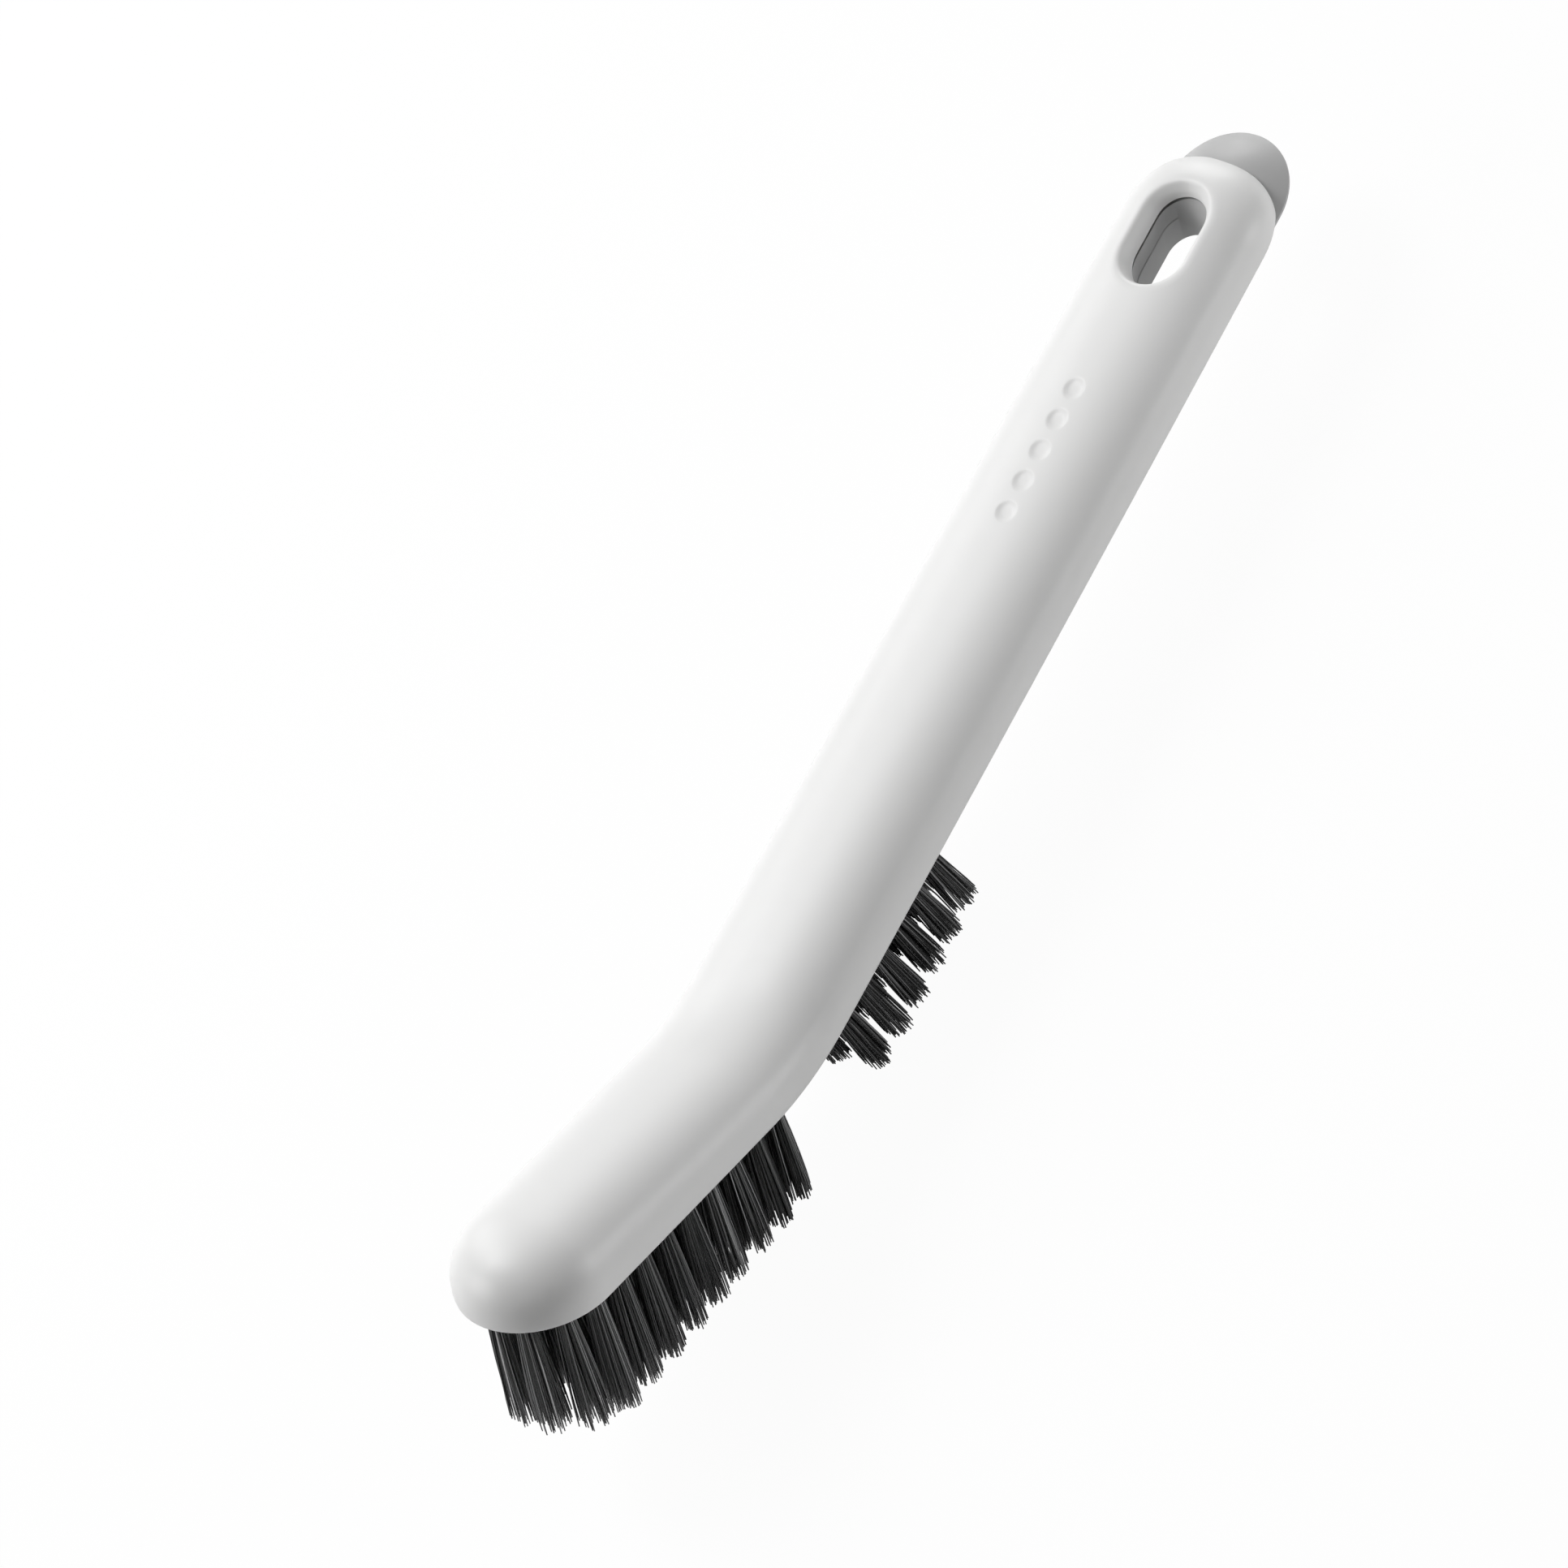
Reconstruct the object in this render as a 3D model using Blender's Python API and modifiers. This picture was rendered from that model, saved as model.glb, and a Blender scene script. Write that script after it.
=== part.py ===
"""Long-handled shoe brush: a white shell over a grey base, with bristle tufts set in the base.

+X runs from the brush head to the tail of the handle, +Y is the far side and +Z is up. The
bristles point down. The rim line is the lower edge of the shell. It is straight along the
handle, bends up by BEND_ANGLE and is straight again along the head. A place along it is its
distance s from the start of the bend: positive on the handle, negative on the bend and head.
Heights h are measured square to the rim line, and all sizes are in metres.
"""
import math
import random

import bmesh
import bpy
from mathutils import Matrix, Vector

# Rim line
HANDLE_LENGTH = 0.1721
HEAD_LENGTH = 0.0629
BEND_RADIUS = 0.0614
BEND_ANGLE = math.radians(21.4)

# Shell
HEAD_WIDTH = 0.0316
BEND_WIDTH = 0.0318
TAIL_WIDTH = 0.0302
NOSE_HEIGHT = 0.0132
BEND_HEIGHT = 0.0108
TAIL_HEIGHT = 0.0102
SKIRT_HEIGHT = 0.0009
CROWN_POWER = 2.3
HEAD_RISE_POWER = 1.5
SHELL_WALL = 0.0016
RIM_ROUND = 0.0004

# Base, which fills the shell from below
SEAT_GAP = 0.0003
BASE_DROP = 0.0014
BASE_FLOOR = 0.0020
EDGE_EASE = 0.0004

# Tongue of the base, which shows beyond the shell's tail
TONGUE_WIDTH = 0.0257
TONGUE_REACH = 0.0073
TONGUE_EDGE = 0.0008
TONGUE_CROWN = 0.0057
TONGUE_ROUND = 0.0005

# Hanging slot through the tail
SLOT_WIDTH = 0.0105
SLOT_LENGTH = 0.0171
SLOT_FROM_TAIL = 0.0185
LIP_WIDTH = 0.0034
LIP_DEPTH = 0.0025
SLOT_STEP = 0.0004
SLOT_STEP_HEIGHT = 0.0037

# Pins of the shell in sockets of the base, and the pockets that lighten the handle
PIN_DIAMETER = 0.0040
PIN_LENGTH = 0.0070
PIN_FIRST = 0.0440
PIN_PITCH = 0.0460
POCKET_WIDTH = 0.0106
RIB_WALL = 0.0018
PIN_BLOCK = 0.0080

# Dimples on top of the handle
DIMPLE_DIAMETER = 0.0046
DIMPLE_DEPTH = 0.00035
DIMPLE_PITCH = 0.0063
DIMPLE_MIDDLE = 0.1089

# Tufts
HOLE_DIAMETER = 0.0036
HOLE_DEPTH = 0.0050
TUFT_GAP = 0.0003
OUTER_ROW_FROM_EDGE = 0.0065
REAR_ROW_FROM_EDGE = 0.0074
FRONT_START = 0.0066
FRONT_INNER_START = 0.0034
INNER_ROW_BACK = 0.0025
FRONT_REACH_AT_BEND = 0.0238
FRONT_REACH_AT_NOSE = 0.0288
NOSE_SHORTER = 0.0028
REAR_FIRST = 0.0050
REAR_PITCH = 0.00635
MIDDLE_ROW_FORWARD = 0.0019
REAR_REACH = 0.0226
TIP_CUT = 0.0005
RAGGED = 0.0010
STRAND_ROOT = 0.0004
STRAND_TIP = 0.00033
ROOT_RING = 0.00084
OUTER_TIP_RING = 0.0026
INNER_TIP_RING = 0.0022
REAR_TIP_RING = 0.0024
ROOT_BURY = 0.0010
NOSE_SPLAY = math.radians(4.0)

# Overrun of a cutter past the face it opens, and the distance at which points are welded
OVERRUN = 0.0020
WELD = 0.000001

# Counts
FRONT_OUTER_TUFTS = 22
FRONT_INNER_TUFTS = 18
REAR_ROW_TUFTS = 6
STRANDS_IN_RING = 6
STRAND_SIDES = 3
PLUG_SIDES = 8
HOLE_SIDES = 10
PIN_SIDES = 12
DIMPLE_SIDES = 20
PIN_COUNT = 3
DIMPLE_COUNT = 5
BEND_STATIONS = 9
HEAD_STATIONS = 3
HANDLE_STATIONS = 8
END_FACETS = 16
CROWN_ROWS = 9
BASE_CROWN_ROWS = 5
ROUND_STEPS = 3
TONGUE_SHARES = (0.0, 0.3, 0.5, 0.68, 0.83, 0.94, 1.0)
LIP_SHARES = (
    (1.0, -0.06),
    (0.72, 0.03),
    (0.56, 0.1),
    (0.43, 0.22),
    (0.34, 0.38),
    (0.16, 0.7),
    (0.0, 1.0),
)
SLOT_LEAN = 0.33

# Places worked out from the sizes above
BEND_END = -BEND_RADIUS * BEND_ANGLE
NOSE_CENTRE = BEND_END - HEAD_LENGTH + HEAD_WIDTH / 2
TAIL_CENTRE = HANDLE_LENGTH - TAIL_WIDTH / 2
SLOT_MIDDLE = HANDLE_LENGTH - SLOT_FROM_TAIL
LIP_HEIGHT = TAIL_HEIGHT - LIP_DEPTH
BASE_TOP = LIP_HEIGHT - SEAT_GAP
BASE_SIDE = SKIRT_HEIGHT - SEAT_GAP
BASE_INSET = SHELL_WALL + SEAT_GAP
NOSE_RUN = BEND_END - NOSE_CENTRE
OUTER_ROW = HEAD_WIDTH / 2 - OUTER_ROW_FROM_EDGE
INNER_ROW = OUTER_ROW / 3
REAR_ROW = HEAD_WIDTH / 2 - REAR_ROW_FROM_EDGE


def half_width(s):
    """Half the shell's width at s: a parabola through the widths at the nose, bend and tail."""
    s = min(max(s, NOSE_CENTRE), TAIL_CENTRE)
    to_nose = (HEAD_WIDTH - BEND_WIDTH) / NOSE_CENTRE
    to_tail = (TAIL_WIDTH - BEND_WIDTH) / TAIL_CENTRE
    bow = (to_tail - to_nose) / (TAIL_CENTRE - NOSE_CENTRE)
    return (BEND_WIDTH + (to_tail - bow * TAIL_CENTRE) * s + bow * s * s) / 2


def crest_height(s):
    """Height of the shell's crest at s, which falls to the tail and rises over the head."""
    to_tail = min(max(s / TAIL_CENTRE, 0.0), 1.0)
    to_nose = min(max(s / NOSE_CENTRE, 0.0), 1.0)
    fall = (BEND_HEIGHT - TAIL_HEIGHT) * to_tail
    rise = (NOSE_HEIGHT - BEND_HEIGHT) * to_nose**HEAD_RISE_POWER
    return BEND_HEIGHT - fall + rise


def base_half_width(s):
    """Half the base's width at s, clear of the shell's wall."""
    return half_width(s) - BASE_INSET


def spine(s):
    """Point on the rim line at s, and the direction of up there."""
    turn = min(max(-s / BEND_RADIUS, 0.0), BEND_ANGLE)
    up = Vector((math.sin(turn), 0.0, math.cos(turn)))
    if s > 0.0:
        return Vector((s, 0.0, 0.0)), up
    point = Vector((-BEND_RADIUS * math.sin(turn), 0.0, BEND_RADIUS * (1.0 - math.cos(turn))))
    beyond = max(BEND_END - s, 0.0)
    return point + Vector((-up.z, 0.0, up.x)) * beyond, up


def place(s, y, height):
    """World point at s along the rim line, y across it and height above it."""
    point, up = spine(s)
    return point + up * height + Vector((0.0, y, 0.0))


def shell_top(s, y):
    """Height of the shell's outer surface above the rim line, on the handle."""
    reach = math.hypot(max(s - TAIL_CENTRE, 0.0), y)
    share = min(reach / half_width(s), 1.0)
    full = (1.0 - share**CROWN_POWER) ** (1.0 / CROWN_POWER)
    return SKIRT_HEIGHT + (crest_height(s) - SKIRT_HEIGHT) * full


def stations(start, end):
    """Places from start to end: close together round the bend, far apart on the straights."""
    marks = [BEND_END * i / BEND_STATIONS for i in range(BEND_STATIONS + 1)]
    marks += [BEND_END - NOSE_RUN * i / HEAD_STATIONS for i in range(1, HEAD_STATIONS)]
    marks += [TAIL_CENTRE * i / HANDLE_STATIONS for i in range(1, HANDLE_STATIONS)]
    return [start] + sorted(mark for mark in marks if start < mark < end) + [end]


def plan_columns(start, end, facets):
    """Ways out from the centre line to the outline of a plan with two round ends."""
    marks = stations(start, end)
    turns = [math.pi * i / facets for i in range(1, facets)]
    near = [(s, 0.0, -1.0) for s in reversed(marks)]
    nose = [(start, -math.sin(turn), -math.cos(turn)) for turn in turns]
    far = [(s, 0.0, 1.0) for s in marks]
    tail = [(end, math.sin(turn), math.cos(turn)) for turn in turns]
    return near + nose + far + tail


def swept_mesh(name, start, end, radius_at, rows, facets=END_FACETS):
    """Mesh swept round a plan with two round ends, from the crest down.

    A row is (share of the radius, offset added to it, height). A height is a number, or a
    function of s and y.
    """
    mesh_builder = bmesh.new()
    grid = []
    for centre, along, across in plan_columns(start, end, facets):
        column = []
        for share, offset, height in rows:
            reach = radius_at(centre) * share + offset
            s = centre + along * reach
            y = across * reach
            level = height(s, y) if callable(height) else height
            column.append(mesh_builder.verts.new(place(s, y, level)))
        grid.append(column)
    for i, column in enumerate(grid):
        following = grid[(i + 1) % len(grid)]
        for j in range(len(rows) - 1):
            mesh_builder.faces.new((column[j], following[j], following[j + 1], column[j + 1]))
    bmesh.ops.remove_doubles(mesh_builder, verts=mesh_builder.verts, dist=WELD)
    mesh = bpy.data.meshes.new(name)
    mesh_builder.to_mesh(mesh)
    mesh_builder.free()
    return mesh


def crown_level(side_height, drop, full):
    """Height of the row at this share of a crown's rise, as a function of place."""
    return lambda s, y: side_height + (crest_height(s) - drop - side_height) * full


def crown_rows(count, side_height, drop):
    """Rows of a flattened half-ellipse from its crest, drop below the shell's, to its side."""
    rows = [(0.0, 0.0, crown_level(side_height, drop, 1.0))]
    for i in range(1, count + 1):
        turn = math.pi / 2 * (1.0 - i / count)
        share = math.cos(turn) ** (2.0 / CROWN_POWER)
        full = math.sin(turn) ** (2.0 / CROWN_POWER)
        rows.append((share, 0.0, crown_level(side_height, drop, full)))
    return rows


def prism_rows(top, bottom, offset=0.0):
    """Rows of a solid with straight sides."""
    return [(0.0, 0.0, top), (1.0, offset, top), (1.0, offset, bottom), (0.0, 0.0, bottom)]


def tongue_rows(gap):
    """Rows of the tongue: a low crown over a thin edge, grown by gap."""
    edge_top = TONGUE_EDGE - BASE_DROP + gap
    return [(share, gap * share, edge_top + TONGUE_CROWN * (1.0 - share * share)) for share in TONGUE_SHARES]


def add_object(name, mesh, collection):
    """Object that carries mesh, in collection."""
    thing = bpy.data.objects.new(name, mesh)
    collection.objects.link(thing)
    return thing


def smooth(thing, angle=math.radians(32.0)):
    """Shade the piece smooth, but for its corners."""
    thing.data.shade_smooth()
    thing.data.set_sharp_from_angle(angle=angle)


def finish(thing, colour, roughness):
    """Give the piece its own plastic."""
    material = bpy.data.materials.new(thing.name + "_finish")
    material.use_nodes = True
    shader = material.node_tree.nodes["Principled BSDF"]
    shader.inputs["Base Color"].default_value = (*colour, 1.0)
    shader.inputs["Roughness"].default_value = roughness
    shader.inputs["Metallic"].default_value = 0.0
    thing.data.materials.append(material)


def boolean(thing, tool, operation):
    """Cut or join thing with tool, which is hidden."""
    tool.hide_render = True
    tool.display_type = "WIRE"
    modifier = thing.modifiers.new(tool.name, "BOOLEAN")
    modifier.operation = operation
    modifier.object = tool
    modifier.solver = "EXACT"


def cylinders(name, frames, radius, top, bottom, sides, collection):
    """One hidden tool of several upright cylinders, each in its own frame."""
    mesh_builder = bmesh.new()
    middle = Matrix.Translation((0.0, 0.0, (top + bottom) / 2))
    for frame in frames:
        bmesh.ops.create_cone(
            mesh_builder,
            cap_ends=True,
            segments=sides,
            radius1=radius,
            radius2=radius,
            depth=top - bottom,
            matrix=frame @ middle,
        )
    mesh = bpy.data.meshes.new(name)
    mesh_builder.to_mesh(mesh)
    mesh_builder.free()
    return add_object(name, mesh, collection)


def boxes(name, corners, collection):
    """One hidden tool of several boxes, each given by two corners."""
    mesh_builder = bmesh.new()
    for low, high in corners:
        low = Vector(low)
        high = Vector(high)
        size = Matrix.Diagonal((*(high - low), 1.0))
        bmesh.ops.create_cube(mesh_builder, size=1.0, matrix=Matrix.Translation((low + high) / 2) @ size)
    mesh = bpy.data.meshes.new(name)
    mesh_builder.to_mesh(mesh)
    mesh_builder.free()
    return add_object(name, mesh, collection)


def head_frame():
    """Frame of the straight part of the head: origin on the rim line, X along it, Z up."""
    point, up = spine(BEND_END)
    return Matrix.Translation(point) @ Matrix.Rotation(BEND_ANGLE, 4, "Y")


def pin_places():
    """Places of the shell's pins along the handle."""
    return [PIN_FIRST + PIN_PITCH * i for i in range(PIN_COUNT)]


def slot_ends():
    """Centres of the slot's two round ends."""
    half_run = (SLOT_LENGTH - SLOT_WIDTH) / 2
    return SLOT_MIDDLE - half_run, SLOT_MIDDLE + half_run


def slot_radius(s):
    """Radius of the slot's ends, the same all along it."""
    return SLOT_WIDTH / 2


def lean(mesh):
    """Lean an upright slot toward the tail, about the height of the lip's lower edge."""
    for vertex in mesh.vertices:
        vertex.co.x += SLOT_LEAN * (vertex.co.z - LIP_HEIGHT)
    return mesh


def lip_height(depth):
    """Height of the lip's surface at a depth below the shell's, as a function of place."""
    leaned = SLOT_LEAN * (LIP_DEPTH - depth)
    return lambda s, y: shell_top(s + leaned, y) - depth


def shell_slot_tool(collection):
    """Cutter for the slot in the shell, with the rounded lip that it leaves."""
    above = TAIL_HEIGHT + OVERRUN
    rows = [(0.0, 0.0, above), (1.0, LIP_WIDTH, above)]
    rows += [(1.0, LIP_WIDTH * width, lip_height(LIP_DEPTH * depth)) for width, depth in LIP_SHARES]
    rows += [(1.0, 0.0, 0.0), (0.0, 0.0, 0.0)]
    start, end = slot_ends()
    mesh = swept_mesh("shell_slot_tool", start, end, slot_radius, rows)
    return add_object("shell_slot_tool", lean(mesh), collection)


def slot_collar_tool(collection):
    """Collar that thickens the shell round the slot, down to the lip's lower edge."""
    start, end = slot_ends()
    top = TAIL_HEIGHT - SHELL_WALL
    mesh = swept_mesh("slot_collar_tool", start, end, slot_radius, prism_rows(top, LIP_HEIGHT, LIP_WIDTH))
    return add_object("slot_collar_tool", mesh, collection)


def tail_arch_tool(collection):
    """Cutter for the arch in the shell's tail that the tongue passes through."""
    rows = tongue_rows(SEAT_GAP)
    rows += [(1.0, SEAT_GAP, -BASE_DROP - OVERRUN), (0.0, 0.0, -BASE_DROP - OVERRUN)]
    mesh = swept_mesh("tail_arch_tool", TAIL_CENTRE, tongue_end(), tongue_radius, rows)
    return add_object("tail_arch_tool", mesh, collection)


def tongue_radius(s):
    """Radius of the tongue's round end, the same all along it."""
    return TONGUE_WIDTH / 2


def tongue_end():
    """Centre of the tongue's round end."""
    return HANDLE_LENGTH + TONGUE_REACH - TONGUE_WIDTH / 2


def upright_frames(places):
    """Upright frames on the centre line of the handle."""
    return [Matrix.Translation((x, 0.0, 0.0)) for x in places]


def make_shell(collection, tools):
    """White shell: a trough with a rounded crown, round ends, a slot and pins."""
    rows = crown_rows(CROWN_ROWS, SKIRT_HEIGHT, 0.0) + [(1.0, 0.0, 0.0)]
    mesh = swept_mesh("handle_shell", NOSE_CENTRE, TAIL_CENTRE, half_width, rows)
    shell = add_object("handle_shell", mesh, collection)
    wall = shell.modifiers.new("wall", "SOLIDIFY")
    wall.thickness = SHELL_WALL
    wall.offset = -1.0
    wall.use_even_offset = True
    rim = shell.modifiers.new("rim", "BEVEL")
    rim.width = RIM_ROUND
    rim.segments = 2
    rim.limit_method = "ANGLE"
    rim.angle_limit = math.radians(60.0)
    pin_top = TAIL_HEIGHT - SHELL_WALL / 2
    pin_bottom = TAIL_HEIGHT - SHELL_WALL - PIN_LENGTH
    pins = cylinders(
        "pin_tool", upright_frames(pin_places()), PIN_DIAMETER / 2, pin_top, pin_bottom, PIN_SIDES, tools
    )
    first_dimple = DIMPLE_MIDDLE - DIMPLE_PITCH * (DIMPLE_COUNT - 1) / 2
    dimple_places = [first_dimple + DIMPLE_PITCH * i for i in range(DIMPLE_COUNT)]
    dimple_frames = [Matrix.Translation((x, 0.0, crest_height(x))) for x in dimple_places]
    dimples = cylinders(
        "dimple_tool", dimple_frames, DIMPLE_DIAMETER / 2, OVERRUN, -DIMPLE_DEPTH, DIMPLE_SIDES, tools
    )
    boolean(shell, slot_collar_tool(tools), "UNION")
    boolean(shell, pins, "UNION")
    boolean(shell, shell_slot_tool(tools), "DIFFERENCE")
    boolean(shell, tail_arch_tool(tools), "DIFFERENCE")
    boolean(shell, dimples, "DIFFERENCE")
    smooth(shell)
    finish(shell, (0.86, 0.86, 0.85), 0.42)
    return shell


def base_slot_tool(collection):
    """Cutter for the slot in the base, a step wider above than below."""
    above = BASE_TOP + OVERRUN
    below = -BASE_DROP - OVERRUN
    rows = [
        (0.0, 0.0, above),
        (1.0, SLOT_STEP, above),
        (1.0, SLOT_STEP, SLOT_STEP_HEIGHT),
        (1.0, 0.0, SLOT_STEP_HEIGHT),
        (1.0, 0.0, below),
        (0.0, 0.0, below),
    ]
    start, end = slot_ends()
    mesh = swept_mesh("base_slot_tool", start, end, slot_radius, rows)
    return add_object("base_slot_tool", lean(mesh), collection)


def pocket_corners():
    """Corners of the pockets between the pin blocks, two across and two along each bay."""
    corners = []
    low = -BASE_DROP + BASE_FLOOR
    high = BASE_TOP + OVERRUN
    for x in pin_places()[:-1]:
        start = x + PIN_BLOCK / 2
        length = (PIN_PITCH - PIN_BLOCK - RIB_WALL) / 2
        for along in (start, start + length + RIB_WALL):
            for side in (-1.0, 1.0):
                inner = side * RIB_WALL / 2
                outer = inner + side * POCKET_WIDTH
                corners.append(((along, min(inner, outer), low), (along + length, max(inner, outer), high)))
    return corners


def make_base(collection, tools, tuft_frames):
    """Grey base: fills the shell, carries the tufts and ends in the tongue."""
    ease = [(1.0, 0.0, -BASE_DROP + EDGE_EASE), (1.0, -EDGE_EASE, -BASE_DROP), (0.0, 0.0, -BASE_DROP)]
    rows = crown_rows(BASE_CROWN_ROWS, BASE_SIDE, LIP_DEPTH + SEAT_GAP) + ease
    base = add_object("base", swept_mesh("base", NOSE_CENTRE, TAIL_CENTRE, base_half_width, rows), collection)
    rows = tongue_rows(0.0)
    for i in range(ROUND_STEPS + 1):
        turn = math.pi / 2 * i / ROUND_STEPS
        inset = TONGUE_ROUND * (1.0 - math.cos(turn))
        rows.append((1.0, -inset, TONGUE_ROUND * (1.0 - math.sin(turn)) - BASE_DROP))
    rows.append((0.0, 0.0, -BASE_DROP))
    tongue = add_object(
        "tongue_tool", swept_mesh("tongue_tool", TAIL_CENTRE, tongue_end(), tongue_radius, rows), tools
    )
    socket_bottom = TAIL_HEIGHT - SHELL_WALL - PIN_LENGTH - SEAT_GAP
    sockets = cylinders(
        "socket_tool",
        upright_frames(pin_places()),
        PIN_DIAMETER / 2 + SEAT_GAP,
        BASE_TOP + OVERRUN,
        socket_bottom,
        PIN_SIDES,
        tools,
    )
    holes = cylinders("hole_tool", tuft_frames, HOLE_DIAMETER / 2, HOLE_DEPTH, -OVERRUN, HOLE_SIDES, tools)
    boolean(base, tongue, "UNION")
    boolean(base, base_slot_tool(tools), "DIFFERENCE")
    boolean(base, sockets, "DIFFERENCE")
    boolean(base, boxes("pocket_tool", pocket_corners(), tools), "DIFFERENCE")
    boolean(base, holes, "DIFFERENCE")
    smooth(base)
    finish(base, (0.42, 0.42, 0.42), 0.5)
    return base


def u_row(start, side, count):
    """Places of tufts along a row that runs out on one side, round the nose and back.

    A place is (distance beyond the bend's end, y, share of the way into the nose's round).
    """
    straight = start + NOSE_RUN
    round_run = math.pi * side
    places = []
    for i in range(count):
        way = (2 * straight + round_run) * i / (count - 1)
        if way < straight:
            places.append((way - start, -side, 0.0))
        elif way > straight + round_run:
            places.append((2 * straight + round_run - way - start, side, 0.0))
        else:
            turn = (way - straight) / side
            places.append((NOSE_RUN + side * math.sin(turn), -side * math.cos(turn), math.sin(turn)))
    return places


def front_tufts():
    """(name, frame at the tuft's root, depth of its tips below the root, tip ring) on the head."""
    head = head_frame()
    outer = u_row(FRONT_START, OUTER_ROW, FRONT_OUTER_TUFTS)
    inner = u_row(FRONT_INNER_START, INNER_ROW, FRONT_INNER_TUFTS)
    rows = (
        ("front_tuft_outer", outer, 0.0, OUTER_TIP_RING),
        ("front_tuft_inner", inner, INNER_ROW_BACK, INNER_TIP_RING),
    )
    tufts = []
    for row_name, places, back, tip_ring in rows:
        for i, (run, y, nose_share) in enumerate(places):
            reach = FRONT_REACH_AT_BEND - NOSE_SHORTER * nose_share
            reach += (FRONT_REACH_AT_NOSE - FRONT_REACH_AT_BEND) * min(run / NOSE_RUN, 1.0)
            splay = Matrix.Rotation(NOSE_SPLAY * nose_share, 4, "Y")
            frame = head @ Matrix.Translation((back - run, y, -BASE_DROP)) @ splay
            tufts.append((f"{row_name}_{i + 1:02d}", frame, reach - BASE_DROP, tip_ring))
    return tufts


def rear_tufts():
    """The same for the three rows behind the bend, the middle one set forward."""
    rows = (
        ("rear_tuft_near", -REAR_ROW, 0.0),
        ("rear_tuft_middle", 0.0, -MIDDLE_ROW_FORWARD),
        ("rear_tuft_far", REAR_ROW, 0.0),
    )
    tufts = []
    for row_name, y, shift in rows:
        for i in range(REAR_ROW_TUFTS):
            frame = Matrix.Translation((REAR_FIRST + shift + REAR_PITCH * i, y, -BASE_DROP))
            tufts.append((f"{row_name}_{i + 1}", frame, REAR_REACH - BASE_DROP, REAR_TIP_RING))
    return tufts


def strand(mesh_builder, root, tip, root_radius, tip_radius, turn):
    """One bristle with flat ends, from root to tip."""
    rings = []
    for centre, radius in ((root, root_radius), (tip, tip_radius)):
        ring = []
        for i in range(STRAND_SIDES):
            angle = turn + 2 * math.pi * i / STRAND_SIDES
            offset = Vector((radius * math.cos(angle), radius * math.sin(angle), 0.0))
            ring.append(mesh_builder.verts.new(centre + offset))
        rings.append(ring)
    for i in range(STRAND_SIDES):
        j = (i + 1) % STRAND_SIDES
        mesh_builder.faces.new((rings[0][j], rings[0][i], rings[1][i], rings[1][j]))
    mesh_builder.faces.new(rings[0])
    mesh_builder.faces.new(reversed(rings[1]))


def make_tuft(name, frame, length, tip_ring, rng, collection):
    """One tuft: a round root plug for its hole, and strands that fan out to a ragged tip."""
    plug_top = HOLE_DEPTH - TUFT_GAP
    plug = cylinders(name, [Matrix()], HOLE_DIAMETER / 2 - TUFT_GAP, plug_top, 0.0, PLUG_SIDES, collection)
    mesh_builder = bmesh.new()
    first_turn = rng.uniform(0.0, math.pi / STRANDS_IN_RING)
    places = [(0.0, 0.0)]
    places += [(1.0, first_turn + 2 * math.pi * i / STRANDS_IN_RING) for i in range(STRANDS_IN_RING)]
    for share, angle in places:
        direction = Vector((math.cos(angle), math.sin(angle), 0.0)) * share
        ragged = rng.uniform(-RAGGED, TIP_CUT)
        root = direction * ROOT_RING + Vector((0.0, 0.0, ROOT_BURY))
        tip = direction * tip_ring - Vector((0.0, 0.0, length + min(ragged, 0.0)))
        strand(mesh_builder, root, tip, STRAND_ROOT, STRAND_TIP, rng.uniform(0.0, math.pi))
    mesh = bpy.data.meshes.new(name + "_strands")
    mesh_builder.to_mesh(mesh)
    mesh_builder.free()
    strands = add_object(name + "_strands", mesh, collection)
    boolean(plug, strands, "UNION")
    fused = bpy.data.meshes.new_from_object(plug.evaluated_get(bpy.context.evaluated_depsgraph_get()))
    plug.modifiers.clear()
    plug.data = fused
    bpy.data.objects.remove(strands)
    plug.matrix_world = frame
    smooth(plug)
    finish(plug, (0.035, 0.035, 0.036), 0.38)
    return plug


def stand_on_floor(pieces, tools, centre):
    """Parent all to centre, which puts the middle of the pieces' box over the origin."""
    front = 0.0
    for piece in pieces:
        front = min([front] + [(piece.matrix_world @ vertex.co).x for vertex in piece.data.vertices])
    for thing in pieces + tools:
        thing.parent = centre
    centre.location = (-(front + HANDLE_LENGTH + TONGUE_REACH) / 2, 0.0, REAR_REACH)


def main():
    """Build the brush."""
    for thing in list(bpy.data.objects):
        bpy.data.objects.remove(thing)
    brush = bpy.data.collections.new("Shoe brush")
    tools = bpy.data.collections.new("Cutters")
    bpy.context.scene.collection.children.link(brush)
    bpy.context.scene.collection.children.link(tools)
    tufts = front_tufts() + rear_tufts()
    rng = random.Random(7)
    pieces = [make_tuft(*tuft, rng, brush) for tuft in tufts]
    bpy.context.view_layer.update()
    pieces.append(make_base(brush, tools, [tuft[1] for tuft in tufts]))
    pieces.append(make_shell(brush, tools))
    centre = bpy.data.objects.new("brush_centre", None)
    brush.objects.link(centre)
    stand_on_floor(pieces, list(tools.objects), centre)


main()
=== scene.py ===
"""Looks of the shoe brush: fine plastic shell and base, dense bristle tufts, camera and light."""
import math
import random

import bmesh
import bpy
from mathutils import Matrix, Vector
from mathutils.bvhtree import BVHTree
from mathutils.interpolate import poly_3d_calc


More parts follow.
